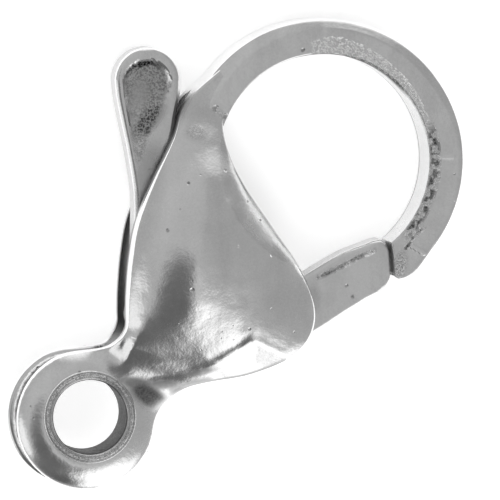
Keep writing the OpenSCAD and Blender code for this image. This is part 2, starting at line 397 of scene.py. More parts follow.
def gritGroup():
    # close cast grain that was never polished
    group, groupIn, groupOut = newGroup("castGrit", [
        ("Place", "Vector", None),
        ("Scale", "Float", 14.0),
    ], [("Height", "Float"), ("Dark", "Float")])
    fine = noiseNode(group, groupIn.outputs["Place"], groupIn.outputs["Scale"], 3, 0.7)
    group.links.new(fine, groupOut.inputs["Height"])
    group.links.new(spreadNode(group, fine, 0.42, 0.58, 1.0, 0.0), groupOut.inputs["Dark"])
    return group


tumbledGrain = tumbledGroup()
smallPits = pitGroup()
tornMetal = tornGroup()
castGrit = gritGroup()


def placeGroup(tree, group, place, values):
    node = tree.nodes.new("ShaderNodeGroup")
    node.node_tree = group
    tree.links.new(place, node.inputs["Place"])
    for label, value in values.items():
        node.inputs[label].default_value = value
    return node


def maskNode(tree, name):
    node = tree.nodes.new("ShaderNodeAttribute")
    node.attribute_type = "GEOMETRY"
    node.attribute_name = name
    return node.outputs["Fac"]


def steelMaterial(name, look, masks=()):
    # worn steel; the masks are attributes that say where a mark or painted shade lies on the piece
    material = bpy.data.materials.new(name)
    material.use_nodes = True
    tree = material.node_tree
    shader = tree.nodes["Principled BSDF"]
    shader.inputs["Metallic"].default_value = 1.0
    if look["flat"]:
        place = tree.nodes.new("ShaderNodeAttribute")
        place.attribute_name = "flatPlace"
        place = place.outputs["Vector"]
    else:
        coordinates = tree.nodes.new("ShaderNodeTexCoord")
        place = stretchNode(tree, coordinates.outputs["Object"], (1000, 1000, 1000))
    grain = placeGroup(tree, tumbledGrain, place, {
        "Cloud Scale": look["cloudScale"], "Grain Scale": look["grainScale"]})
    pits = placeGroup(tree, smallPits, place, {"Scale": look["pitScale"], "Amount": look["pitAmount"]})

    groups = {
        "torn": (tornMetal, {"Scale": look["tornScale"]}),
        "speckle": (tornMetal, {"Scale": look["speckleScale"]}),
        "grit": (castGrit, {"Scale": look["gritScale"]}),
        "pitted": (smallPits, {"Scale": look["pittedScale"], "Amount": look["pittedAmount"]}),
    }
    marks = {name: placeGroup(tree, group, place, values).outputs
             for name, (group, values) in groups.items() if name in masks}

    def mark(name, label):
        return marks[name][label] if name in marks else None

    def everywhere(value, amount, offset=0.0):
        if offset:
            value = mathNode(tree, "SUBTRACT", value, offset)
        return mathNode(tree, "MULTIPLY", value, amount)

    def where(mask, value, amount):
        # what a mark adds where its mask lies, if the piece has that mask
        if mask not in masks:
            return None
        spot = maskNode(tree, mask)
        if value is not None:
            spot = mathNode(tree, "MULTIPLY", value, spot)
        return mathNode(tree, "MULTIPLY", spot, amount)

    def total(start, parts):
        for value in parts:
            if value is not None:
                start = mathNode(tree, "ADD", value, start)
        return start

    # tone of the metal; painted shade, with a little real mottle, darkens it where its mask lies
    tone = total(look["tone"], [
        everywhere(grain.outputs["Cloud"], look["cloudTone"], 0.5),
        everywhere(grain.outputs["Grain"], look["grainTone"], 0.5),
        everywhere(grain.outputs["Streak"], look["streakTone"], 0.5),
        everywhere(pits.outputs["Dark"], -look["pitTone"]),
        where("torn", mark("torn", "Hollow"), -look["tornTone"]),
        where("speckle", mark("speckle", "Thread"), look["speckleTone"]),
        where("grit", mark("grit", "Dark"), -look["gritTone"]),
        # painted shade, with a faint real mottle, darkens the metal here
        where("shadeAndStain", None, -look["shadeAndStainTone"]),
        where("scratch", None, look["scratchTone"]),
    ])
    shade = tree.nodes.new("ShaderNodeMix")
    shade.data_type = "RGBA"
    shade.inputs[6].default_value = (0.0, 0.0, 0.0, 1)
    shade.inputs[7].default_value = look["colour"] + (1,)
    tree.links.new(tone, shade.inputs[0])
    tree.links.new(shade.outputs[2], shader.inputs["Base Color"])

    # gloss
    gloss = total(look["rough"], [
        everywhere(grain.outputs["Cloud"], look["cloudRough"]),
        where("torn", mark("torn", "Hollow"), look["tornRough"]),
        where("speckle", grain.outputs["Grain"], look["speckleRough"]),
        where("grit", mark("grit", "Dark"), look["gritRough"]),
        where("shadeAndStain", None, look["shadeAndStainRough"]),
    ])
    tree.links.new(gloss, shader.inputs["Roughness"])

    # relief, in millimetres
    height = total(0.0, [
        everywhere(grain.outputs["Grain"], look["grainHeight"]),
        everywhere(grain.outputs["Cloud"], look["cloudHeight"]),
        everywhere(pits.outputs["Hollow"], -look["pitHeight"]),
        where("torn", mark("torn", "Hollow"), -look["tornHeight"]),
        where("speckle", mark("speckle", "Thread"), look["speckleHeight"]),
        where("grit", mark("grit", "Height"), look["gritHeight"]),
        where("pitted", mark("pitted", "Hollow"), -look["pittedHeight"]),
        where("scratch", None, look["scratchHeight"]),
    ])
    bump = tree.nodes.new("ShaderNodeBump")
    bump.inputs["Strength"].default_value = 1.0
    bump.inputs["Distance"].default_value = mm
    tree.links.new(height, bump.inputs["Height"])
    tree.links.new(bump.outputs["Normal"], shader.inputs["Normal"])
    return material


# Tone is the metal's share of its colour, rough its dullness and height its relief in millimetres. Clouds,
# grain, streaks and pits lie everywhere; the other marks only where a piece has their mask.
steelLook = {
    "flat": True,          # patterns follow the places as drawn flat
    "colour": (0.93, 0.93, 0.93),
    "tone": 0.94,
    "rough": 0.1,
    "cloudScale": 1.1,
    "cloudTone": 0.07,
    "cloudRough": 0.1,
    "cloudHeight": 0.006,
    "grainScale": 16.0,
    "grainTone": 0.05,
    "grainHeight": 0.0006,
    "streakTone": 0.07,
    "pitScale": 3.2,
    "pitAmount": 0.2,
    "pitTone": 0.6,
    "pitHeight": 0.01,
    "tornScale": 5.0,
    "tornTone": 0.6,
    "tornRough": 0.3,
    "tornHeight": 0.03,
    "speckleScale": 9.0,
    "speckleTone": 0.6,
    "speckleRough": 0.1,
    "speckleHeight": 0.12,
    "gritScale": 20.0,
    "gritTone": 0.55,
    "gritRough": 0.25,
    "gritHeight": 0.03,
    "pittedScale": 6.0,
    "pittedAmount": 0.6,
    "pittedHeight": 0.008,
    # painted shade, with a faint real mottle: how much it darkens and dulls the metal
    "shadeAndStainTone": 0.85,
    "shadeAndStainRough": 0.5,
    "scratchTone": 0.2,
    "scratchHeight": 0.02,
}

bodySteel = steelMaterial("polishedSteel", steelLook,
                          ("torn", "speckle", "grit", "pitted", "shadeAndStain", "scratch"))
leverSteel = steelMaterial("leverSteel", {**steelLook, "rough": 0.12}, ("grit", "shadeAndStain", "torn"))
eyeletSteel = steelMaterial("eyeletSteel", {**steelLook, "tone": 0.85, "rough": 0.16, "gritTone": 0.4,
                                            "gritHeight": 0.02}, ("grit", "shadeAndStain"))
pinSteel = steelMaterial("pinSteel", {**steelLook, "flat": False, "tone": 0.7, "rough": 0.3, "cloudScale": 2.0})
print("finishes ready")

# Body: the hook's band, the two shells and the ears

domeRidge = [(3.6, 5.6), (4.18, 4.53), (4.34, 3.73), (4.5, 2.95), (4.26, 2.06)]    # down the dome's right side
lowerEdge = [(2.9, 1.25), (3.4, 1.5), (4.26, 2.06), (5.11, 1.62), (5.6, 1.36)]    # crease along the lower facet

body = {
    "eye": {
        "boreR": 0.98,         # hole for the jump ring
        "rivetWall": 0.16,     # wall of the hollow rivet in it
        "fit": 0.01,           # room round the rivet
        "frontEar": (-0.05, -0.1, 1.86),    # middle and radius
        "backEar": (-0.2, -0.07, 1.86),
        "earGap": 0.68,        # between the two ears
        "roundW": 0.7,         # the ears fall away from the rivet to their border
        "roundH": 0.34,
        "roundPower": 1.6,
        "earWay": 47,          # way from the ears to the shells, in degrees
        "earTurn": (34, 176),  # part of the ear's round that is drawn, from the shell to its far end
        "earSteps": 90,
        "blend": 24,           # sections on both sides of the joint that are blended
        "blendRounds": 90,
    },
    "hook": {
        "boreR": 2.83,         # round opening
        "band": 0.93,          # width of the flat face
        "thick": 1.7,
        # angle round the hook, width and fall of the outer facet
        "facets": [
            [-60, 0.12, 0.05],
            [10, 0.14, 0.08],
            [35, 0.24, 0.4],
            [85, 0.26, 0.45],
            [105, 0.26, 0.3],
            [150, 0.4, 0.26],
            [175, 0.42, 0.26],
        ],
        "round": 0.07,         # rounding of the outer edge
        "edge": 0.05,          # small inner bevel
        "tipAngle": 58,        # where the hook ends, in degrees below the middle of its opening
        "tipCap": 9,           # rounded end of the tip, in degrees
        "tipBlunt": 0.12,      # least share of the band that its end keeps
        "tipPower": 2.2,
        "tipBulge": 0.12,      # the tip stands out from the round
        "bulgeTurn": (38, 54),    # over these degrees
        "tipLean": 0.3,        # and ends near its outer side
        "gapTurn": 0.9,        # the gap at the tip is round about a place this far above the pin
        "swingAngle": 55,      # place on the hook that the gate's end meets
        "rootAngle": 170,      # where the band ends inside the shells
        "neckAngle": 157,      # where it passes the top of the shells
        "neckShare": 0.632,    # and how far across their width
        "steps": 420,
    },
    "shells": {
        "sheet": 0.5,          # thickness of the metal
        "width": 5.03,
        "height": 8.04,        # from the eye's middle to the neck
        "rimGap": 1.44,        # between the rims, where the lever moves
        "rise": 0.8,           # height of the dome over the rim
        "domePowers": (2.2, 0.85),
        "frontPress": (1.0, 1.0),    # shares of the rise and of the folds
        "backPress": (0.86, 0.0),
        "rimRound": 0.07,      # outer edge of the rim
        "innerRound": 0.12,    # inner edge
        "sink": 0.03,          # the ends sit this much lower than the hook and the ears
        "endShare": 0.2,       # share of the length, at each end, that takes up the next part's edge
        "rootFill": (0.055, 0.085),    # down to this share of the length the two shells are one solid root
        "rootSink": 0.02,
        "foldPower": 1.4,      # slope of a fold's flanks
        "steps": 190,          # sections along the shell, places across it outside and inside
        "cols": 62,
        "innerCols": 40,
        # left x, left y, right x, right y, rim lift, crown, crown's place: all shares, from the hook to the eye
        "rows": [
            [0.68, 1.14, 0.76, 1.045, 0, 0, 0.5],
            [0.5, 1.035, 0.7, 0.98, 0.12, 0, 0.6],
            [0.432, 0.92, 0.72, 0.885, 0.55, 0.14, 0.6],
            [0.325, 0.783, 0.805, 0.768, 0.92, 0.5, 0.56],
            [0.235, 0.644, 0.97, 0.616, 1, 0.86, 0.47],
            [0.2, 0.522, 1.097, 0.497, 1, 0.98, 0.4],
            [0.186, 0.41, 1.181, 0.367, 1, 0.85, 0.36],
            [0.184, 0.342, 1.157, 0.264, 1, 0.67, 0.36],
            [0.184, 0.3, 1.034, 0.189, 0.95, 0.47, 0.43],
            [0.163, 0.268, 0.835, 0.137, 0.85, 0.26, 0.54],
            [0.127, 0.245, 0.6, 0.111, 0.6, 0.1, 0.5],
            [0.083, 0.224, 0.447, 0.085, 0.25, 0.02, 0.5],
        ],
        # folds left by the press: places, heights along them, widths of the left and right flanks, softness
        "folds": [
            (domeRidge, (0.035, 0.035), 0.6, 0.5, 0.03),
            ([(3.05, 7.4), (3.0, 6.0), (2.8, 4.5), (2.6, 3.2)], (0.04, 0.04), 0.8, 0.8, 0.1),
            ([(3.2, 1.62), (3.7, 1.9), (4.1, 2.16)], (-0.015, -0.015), 0.2, 0.2, 0.04),
            ([(1.1, 1.0), (1.7, 1.08), (2.4, 1.18), (2.95, 1.25)], (-0.06, -0.04), 0.4, 0.3, 0.06),
            (lowerEdge, (0.018, 0.018, 0.0), 0.2, 0.6, 0.03),
            ([(4.3, 2.06), (5.11, 1.62), (5.6, 1.36)], (0.05, 0.09, 0.09), 1.3, 1.3, 0.04),
            ([(1.36, 2.75), (1.06, 1.85), (0.66, 0.95)], (0.0, 0.13, 0.09), 1.6, 0.24, 0.03),
        ],
        # bends, where the metal falls away on the right of the line: places, fall, width, softness
        "bends": [
            (lowerEdge, 0.15, 0.6, 0.03),
        ],
    },
    # wear and painted shade as drawn flat. Spots are ovals: x, y, half length, half width, turn, strength.
    # Lines are places, width, strength. Turns are the angles round the hook where a mark comes in and goes out.
    "wearAndShade": {
        "tornTurn": (-46, -36, 12, 22),
        "tornLines": [
            ([(8.91, 4.97), (8.64, 4.73), (8.43, 4.43)], 0.07, 1.0),
            ([(3.31, 8.15), (3.5, 7.95), (3.7, 7.9)], 0.1, 0.5),
        ],
        "speckleTurn": (5, 50, 84, 98),
        # angle round the hook, width out from the bore
        "speckleBand": [
            [10, 0.1],
            [35, 0.16],
            [62, 0.26],
            [84, 0.42],
            [96, 0.3],
        ],
        "gritSpots": [
            (8.28, 4.0, 0.42, 0.2, 80, 0.8),
            (2.76, 7.54, 0.3, 0.2, 0, 0.35),
            (1.5, 0.55, 0.7, 0.3, -35, 0.12),
        ],
        "pittedSpots": [(3.4, 2.2, 0.8, 0.55, 10, 1.0)],
        # painted shade in the hollow between the ear and the shell and along the lower flange; the first spot
        # is a faint real mottle at the neck
        "shadeAndStainSpots": [
            (2.76, 7.54, 0.4, 0.3, 0, 0.12),
            (1.6, 0.52, 0.8, 0.36, -35, 0.85),
            (1.25, 0.88, 0.55, 0.2, -12, 0.7),
            (2.0, 0.85, 0.5, 0.16, 0, 0.5),
            (2.9, 1.2, 0.5, 0.12, 12, 0.4),
        ],
        "edgeShade": 0.85,         # painted shade on the inner edges of the shells
        "boreShade": (0.16, 0.5),  # painted shade on the wall inside the hook, and more at its back
        "lipShade": 0.95,          # painted shade on the same wall just under the front face
        "lipTurn": (28, 48, 98, 112),
        "rimShade": [(0.07, 0.5, 0), (0.2, 0.4, 10)],    # painted shade along the lower rim: width, strength, first step along the rim
        # painted shade in the gap between the hook's tip and the gate's end
        "gapShade": [([(8.02, 4.5), (8.1, 4.05), (8.16, 3.85)], 0.12, 0.7)],
        "scratches": [
            ([(8.56, 4.51), (8.91, 4.3)], 0.08, 0.5),
            ([(9.34, 6.86), (9.68, 6.86)], 0.08, 0.4),
        ],
    },
}
eye, hook, shells, wearAndShade = (body[part] for part in ("eye", "hook", "shells", "wearAndShade"))

pin = {
    "r": 0.3,
    "clear": 0.04,             # room in the lever
    "fit": 0.01,               # room in the shells
    "place": (0.378, 0.336),   # shares of the shells' width and height
    "reach": 0.41,             # share of the dome's rise that its ends come up to
}

earOut = eye["earGap"] / 2 + shells["sheet"]
rimOut = shells["rimGap"] / 2 + shells["sheet"]
pinHalf = rimOut + pin["reach"] * shells["rise"]
hookOutR = hook["boreR"] + hook["band"]
hookMidR = hook["boreR"] + hook["band"] / 2
neckPlace = np.array([hook["neckShare"] * shells["width"], shells["height"]])
hookMiddle = neckPlace - hookMidR * direction(hook["neckAngle"])
pinPlace = np.array([pin["place"][0] * shells["width"], pin["place"][1] * shells["height"]])
tipPlace = hookMiddle + hookMidR * direction(-hook["swingAngle"])
swingR = float(np.linalg.norm(tipPlace - pinPlace))
endPlace = pinPlace + np.array([0, hook["gapTurn"]])


def layMatrix():
    # from the flat drawing, in millimetres, to the frame, in metres
    mounts = {m["name"]: m for m in frame["record"]["mounts"]}
    eyeAt = Vector(mounts["eye_bore"]["pos_m"])
    up = Vector(mounts["eye_bore"]["axis"]).normalized()
    toHook = (Vector(mounts["hook_opening"]["pos_m"]) - eyeAt).normalized()
    turn = math.atan2(hookMiddle[1], hookMiddle[0])
    right = Matrix.Rotation(-turn, 3, up) @ toHook
    away = up.cross(right)
    axes = Matrix((right, away, up)).transposed().to_4x4()
    return Matrix.Translation(eyeAt) @ axes @ Matrix.Scale(mm, 4)


lay = layMatrix()
creaseAngle = 38    # edges sharper than this stay crisp


def finishedPiece(name, mesh, carrier, material, node):
    # lays the mesh down in the frame and hands the piece over
    layer = mesh.attributes.new("flatPlace", "FLOAT_VECTOR", "POINT")
    layer.data.foreach_set("vector", places(mesh).astype(np.float32).ravel())
    mesh.transform(lay)
    mesh.materials.clear()
    mesh.materials.append(material)
    mesh.polygons.foreach_set("material_index", np.zeros(len(mesh.polygons), np.int32))
    mesh.polygons.foreach_set("use_smooth", np.ones(len(mesh.polygons), bool))
    mesh.set_sharp_from_angle(angle=math.radians(creaseAngle))
    mesh.update()
    piece = newObject(name, mesh)
    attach(piece, carrier)
    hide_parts(node)
    print(f"{name}: {sum(len(p.vertices) - 2 for p in mesh.polygons)} triangles")


def acrossPlaces(span, roundW, cols):
    # shares across a section: close together on the rounded edges, even between them
    edge = 9    # places on each of them
    near = [roundW * (1 - math.cos(math.pi / 2 * k / edge)) / span for k in range(edge)]
    inner = np.linspace(roundW / span, 1 - roundW / span, cols + 1 - 2 * edge)
    return np.array(near + inner.tolist() + [1 - t for t in near[::-1]])


def lineGap(spots, line):
    # distance to a line of places, the side of it, how far along it, and how far before its start
    line = np.array(line, float)
    best, onLeft, share = np.full(len(spots), 1e9), np.zeros(len(spots), bool), np.zeros(len(spots))
    for k, (a, b) in enumerate(zip(line[:-1], line[1:])):
        way = b - a
        along, gap = alongWay(spots, a, way)
        near = np.hypot(gap[:, 0], gap[:, 1])
        closer = near < best
        onLeft = np.where(closer, way[0] * gap[:, 1] - way[1] * gap[:, 0] > 0, onLeft)
        share = np.where(closer, (k + along) / (len(line) - 1), share)
        best = np.minimum(best, near)
    first = line[1] - line[0]
    before = (line[0] - spots) @ first / np.linalg.norm(first)
    return best, onLeft, share, before


def pressedLift(spots):
    # what the folds and bends add to the height
    lift, power = 0, shells["foldPower"]
    for line, highs, leftWidth, rightWidth, soft in shells["folds"]:
        near, onLeft, share, before = lineGap(spots, line)
        width = np.where(onLeft, leftWidth, rightWidth)
        height = np.interp(share, np.linspace(0, 1, len(highs)), highs)
        lift = lift + height * np.clip(1 - np.sqrt(near ** 2 + soft ** 2) / width, 0, 1) ** power
    for line, fall, width, soft in shells["bends"]:
        near, onLeft, share, before = lineGap(spots, line)
        near = np.sqrt(np.where(onLeft, 0, near) ** 2 + soft ** 2) - soft
        fall = fall * (1 - softStep(before, -0.5, 0.3))
        lift = lift - fall * (1 - np.clip(1 - near / width, 0, 1) ** power)
    return lift


def domeProfile(t, crown):
    # rise across a section, full at the crown
    across, power = shells["domePowers"]
    u = np.where(t < crown, (crown - t) / crown, (t - crown) / (1 - crown))
    return np.maximum(0, 1 - u ** across) ** power


def sheetSection(top, below):
    # closed outline of a section, with two more places down each end wall
    down = np.array([[0.35], [0.7]])
    return np.vstack([top, top[-1] + down * (below[-1] - top[-1]), below[::-1],
                      below[0] + down * (top[0] - below[0])])


def shellSection(share, press):
    row = sampleRows(shells["rows"], share)
    nearHook, nearEar = (max(0, 1 - far / shells["endShare"]) for far in (share, 1 - share))
    edge = shells["rimRound"] + (hook["round"] - shells["rimRound"]) * nearHook
    roundW = edge + (eye["roundW"] - edge) * nearEar ** 3
    roundH = edge + (eye["roundH"] - edge) * nearEar ** 3
    left = np.array([row[0] * shells["width"], row[1] * shells["height"]])
    right = np.array([row[2] * shells["width"], row[3] * shells["height"]])
    span = np.linalg.norm(right - left)
    base = (1 - share) * hook["thick"] / 2 + share * earOut - shells["sink"]
    rim = base + row[4] * (rimOut - base)
    inside = shells["innerRound"] * nearEar
    over = acrossPlaces(span, roundW, shells["cols"])
    under = acrossPlaces(span, shells["innerRound"], shells["innerCols"])

    def spots(t):
        return left + t[:, None] * (right - left)

    def heights(t):
        dome = press[0] * row[5] * shells["rise"] * domeProfile(t, row[6])
        return rim + dome + press[1] * pressedLift(spots(t))

    drops = edgeDrop(np.minimum(over, 1 - over) * span, roundW, roundH)
    rise = edgeDrop(np.minimum(under, 1 - under) * span, shells["innerRound"], inside)
    # the two shells meet as one solid root beside the hook
    solid = 1 - softStep(share, *shells["rootFill"])
    beneath = (heights(under) - shells["sheet"] + rise) * (1 - solid) - shells["rootSink"] * solid
    return sheetSection(np.column_stack([spots(over), heights(over) - drops]),
                        np.column_stack([spots(under), beneath]))


def earSection(angle, ear, press):
    way = direction(eye["earWay"])
    side = np.array([-way[1], way[0]])
    earMiddle, earR = np.array(ear[:2]), ear[2]
    middle = earMiddle + earR * math.cos(math.radians(angle)) * way
    half = earR * math.sin(math.radians(angle))
    roundW = min(eye["roundW"], 0.9 * half)
    over = acrossPlaces(2 * half, roundW, shells["cols"])
    under = acrossPlaces(2 * half, min(shells["innerRound"], 0.9 * half), shells["innerCols"])

    def spots(t):
        return middle + (1 - 2 * t)[:, None] * half * side

    depth = earR - np.linalg.norm(spots(over) - earMiddle, axis=1)
    drops = edgeDrop(depth, eye["roundW"], eye["roundH"], eye["roundPower"])
    depth = earR - np.linalg.norm(spots(under) - earMiddle, axis=1)
    rise = edgeDrop(depth, shells["innerRound"], shells["innerRound"])
    beneath = earOut + press[1] * pressedLift(spots(under)) - shells["sheet"] + rise
    return sheetSection(np.column_stack([spots(over), earOut + press[1] * pressedLift(spots(over)) - drops]),
                        np.column_stack([spots(under), beneath]))


def shellMesh(name, side, ear, press):
    rings = [shellSection(k / shells["steps"], press) for k in range(shells["steps"] + 1)]
    start, end = eye["earTurn"]
    for k in range(eye["earSteps"] + 1):
        rings.append(earSection(start + (end - start) * k / eye["earSteps"], ear, press))
    rings = np.array(rings)
    # the shell runs into the ear in one soft sweep
    joint = shells["steps"]
    near = np.clip(1 - np.abs(np.arange(len(rings)) - joint) / eye["blend"], 0, 1)[:, None, None]
    for k in range(eye["blendRounds"]):
        even = rings.copy()
        even[1:-1] = 0.25 * rings[:-2] + 0.5 * rings[1:-1] + 0.25 * rings[2:]
        rings += near * (even - rings)
    rings[:, :, 2] *= side
    return skinMesh(name, rings)


def bandMesh():
    inner, outer, high = hook["boreR"], hookOutR, hook["thick"] / 2
    edge, outerEdge = hook["edge"], hook["round"]
    half = [(inner, 0.0), (inner, 0.35 * high), (inner, 0.7 * high)]
    for k in range(4):
        a = math.pi / 2 * k / 3
        half.append((inner + edge * (1 - math.cos(a)), high - edge * (1 - math.sin(a))))
    for k in range(1, 24):
        half.append((inner + edge + (outer - outerEdge - inner - edge) * k / 24, high))
    for k in range(6):
        a = math.pi / 2 * k / 5
        half.append((outer - outerEdge * (1 - math.sin(a)), high - outerEdge * (1 - math.cos(a))))
    half += [(outer, 0.6 * high), (outer, 0.3 * high)]
    profile = half + [(outer, 0.0)] + [(r, -z) for r, z in half[:0:-1]]
    mesh = sweptMesh("band", profile, hookMidR, -hook["tipAngle"], hook["tipAngle"] + hook["rootAngle"],
                     hook["steps"])
    points = places(mesh)
    away = np.hypot(points[:, 0], points[:, 1])
    angle = np.arctan2(points[:, 1], points[:, 0])
    facets = np.array(hook["facets"]).T
    width, slope = (np.interp(np.degrees(angle), facets[0], column) for column in facets[1:])
    fall = slope * np.maximum(0, away - outer + width)
    points[:, 2] -= np.sign(points[:, 2]) * fall * softStep(np.abs(points[:, 2]), 0.3 * high, 0.8 * high)
    # the tip's inner side follows the swing of the gate's end
    ray = np.column_stack([np.cos(angle), np.sin(angle)])
    toEnd = hookMiddle - endPlace
    reach = ray @ toEnd
    endR = np.linalg.norm(tipPlace - endPlace)
    leaves = -reach + np.sqrt(np.maximum(0, reach ** 2 - toEnd @ toEnd + endR ** 2))
    shift = np.where(angle < 0, np.clip(leaves - inner, 0, None), 0)
    away += shift * np.clip((outer - away) / hook["band"], 0, 1)
    bulge = hook["tipBulge"] * softStep(-np.degrees(angle), *hook["bulgeTurn"])
    away += bulge * np.clip((away - inner - shift) / (outer - inner - shift + 1e-6), 0, 1)
    # and its end is rounded over
    left = np.clip((np.degrees(angle) + hook["tipAngle"]) / hook["tipCap"], 0, 1)
    slim = np.maximum(hook["tipBlunt"], (1 - (1 - left) ** hook["tipPower"]) ** (1 / hook["tipPower"]))
    middle = outer + bulge - hook["tipLean"] * hook["band"]
    away = middle + (away - middle) * slim
    points[:, 0] = hookMiddle[0] + away * ray[:, 0]
    points[:, 1] = hookMiddle[1] + away * ray[:, 1]
    setPlaces(mesh, points)
    return mesh


def bodyMasks(mesh):
    points = places(mesh)
    fromHook = points[:, :2] - hookMiddle
    away = np.hypot(fromHook[:, 0], fromHook[:, 1])
    fromBore = away - hook["boreR"]
    angle = np.degrees(np.arctan2(fromHook[:, 1], fromHook[:, 0]))
    front = softStep(points[:, 2], 0.6, 0.8)

    wide = np.interp(angle, *np.array(wearAndShade["speckleBand"]).T)
    speckle = (1 - softStep(fromBore, wide, wide + 0.08)) * softWindow(angle, *wearAndShade["speckleTurn"])
    torn = softWindow(fromBore, 0, 0.08, 0.2, 0.36) * softWindow(angle, *wearAndShade["tornTurn"])
    torn = np.maximum(torn, lineMask(points, wearAndShade["tornLines"]))

    # painted shade on the inner edges of the shells and on the wall inside the hook
    low = 1 - softStep(np.abs(points[:, 2]), 0.8, 1.05)
    edges = low * softStep(points[:, 1], 1.9, 2.4) * softStep(away, hookOutR + 0.1, hookOutR + 0.3)
    wall = 1 - softStep(fromBore, 0.004, 0.03)
    wallShade, more = wearAndShade["boreShade"]
    lip = wall * softStep(points[:, 2], 0.1, 0.45) * softWindow(angle, *wearAndShade["lipTurn"])
    rim = [np.array(sampleRows(shells["rows"], k / 60)[2:4]) * (shells["width"], shells["height"])
           for k in range(44, 61)]
    rimLines = [(rim[first:], width, strength) for width, strength, first in wearAndShade["rimShade"]]
    gap = lineMask(points, wearAndShade["gapShade"]) * (1 - softStep(points[:, 2], 0.5, 0.7))
    # painted shade, with a faint real mottle at the neck, all in one mask
    shadeAndStain = np.max([
        front * markMask(points, wearAndShade["shadeAndStainSpots"]),
        front * lineMask(points, rimLines),
        wearAndShade["edgeShade"] * edges,
        wall * (wallShade + more * softStep(-points[:, 2], 0.6, 0.8)),
        wearAndShade["lipShade"] * lip,
        gap,
    ], axis=0)

    setMask(mesh, "speckle", speckle * front)
    setMask(mesh, "torn", torn * front)
    setMask(mesh, "grit", np.maximum(0.5 * torn, markMask(points, wearAndShade["gritSpots"])) * front)
    setMask(mesh, "pitted", markMask(points, wearAndShade["pittedSpots"]) * front)
    setMask(mesh, "shadeAndStain", shadeAndStain)
    setMask(mesh, "scratch", lineMask(points, wearAndShade["scratches"]) * front)


def bodyMesh():
    front = shellMesh("front", 1, eye["frontEar"], shells["frontPress"])
    back = shellMesh("back", -1, eye["backEar"], shells["backPress"])
    whole = combined("body", bandMesh(), [front, back], "UNION")
    holeR = eye["boreR"] + eye["rivetWall"] + eye["fit"]
    holes = [
        discMesh("eyeHole", (0, 0), holeR, -2 * earOut, 2 * earOut),
        discMesh("pinHole", pinPlace, pin["r"] + pin["fit"], -pinHalf - pin["fit"], pinHalf + pin["fit"], 64),
    ]
    whole = combined("body", whole, holes, "DIFFERENCE")
    bodyMasks(whole)
    return whole


finishedPiece("clasp_body_dressed", bodyMesh(), "clasp_body", bodySteel, "body")

# Lever: the thumb arm and the gate

lever = {
    "thick": 1.05,
    "gateThick": 1.0,
    "bevel": 0.14,
    "endBevel": 0.05,          # at the gate's end
    "thumbReach": 6.17,        # the tab's middle, above the pin and to its left
    "thumbLean": 0.35,
    "thumbR": 0.88,
    "dishDepth": 0.16,
    "dishWall": 0.16,          # width of its slope
    "dishHead": (-0.04, -0.1, 0.65),    # from the tab's middle, and radius
    "dishTail": (-0.24, -2.07, 0.12),
    "gateW": 1.6,
    "gateBow": 1.07,           # how far the gate bows out from the straight way to the tip
    "endTurn": (0.8, 0.97),    # shares of its reach over which it turns square to the gap
    "tipClear": 0.045,         # gap at the hook's tip
    "capAngles": [87, 82, 76, 70, 64, 58, 52, 46, 40, 34, 28, 22, 16, 10, 5],    # sections of a round end
    "armSteps": 150,
    "gateSteps": 170,
    # share of the way down, then left and right half widths as shares of thumbR
    "armRows": [
        [0, 1, 1],
        [0.07, 0.97, 0.95],
        [0.18, 0.86, 0.8],
        [0.31, 0.72, 0.68],
        [0.49, 0.6, 0.535],
        [0.68, 0.68, 0.535],
        [0.86, 0.8, 0.69],
        [1, 0.98, 0.955],
    ],
    # share of the reach, share of gateBow across, half width as a share of half gateW
    "gateRows": [
        [0, 0, 1],
        [0.167, -0.76, 0.9],
        [0.371, -0.97, 0.9],
        [0.563, -0.72, 0.94],
        [0.73, -0.38, 0.93],
        [0.835, -0.18, 0.92],
        [0.905, -0.1, 0.91],
        [0.94, -0.05, 0.9],
        [0.975, -0.01, 0.8],
        [1, -0.03, 0.52],
    ],
    # wear and painted shade, in the same way as the body's
    "smoothSpots": [(1.35, 8.5, 0.5, 0.3, 70, 1.0)],
    "gritSpots": [
        (1.58, 7.85, 0.75, 0.3, 51, 0.8),
        (1.32, 7.1, 0.55, 0.22, 70, 0.6),
    ],
    "gritLines": [([(6.15, 3.66), (6.6, 3.86), (7.3, 4.22), (7.63, 4.36)], 0.08, 0.7)],
    "tornLines": [([(6.15, 3.66), (6.6, 3.86), (7.3, 4.22)], 0.08, 0.6)],
    # painted shade on the thumb arm and on the gate beside the dome, a small dark spot on the gate and a darker
    # band in the dish
    "shadeAndStainSpots": [
        (1.6, 6.5, 0.9, 0.45, 75, 0.26),
        (1.35, 5.5, 0.8, 0.4, 80, 0.28),
        (5.95, 3.0, 0.55, 0.3, 75, 0.2),
        (7.06, 3.13, 0.05, 0.05, 0, 0.8),
        (1.58, 7.85, 0.75, 0.34, 51, 0.42),
    ],
    # painted shade on the lever's side walls
    "sideShade": 0.35,
}

thumbHead = pinPlace + np.array([-lever["thumbLean"], lever["thumbReach"]])
gateReach = swingR - lever["tipClear"]
gateWay = (tipPlace - pinPlace) / swingR
gateSide = np.array([-gateWay[1], gateWay[0]])
endWay = (tipPlace - endPlace) / np.linalg.norm(tipPlace - endPlace)


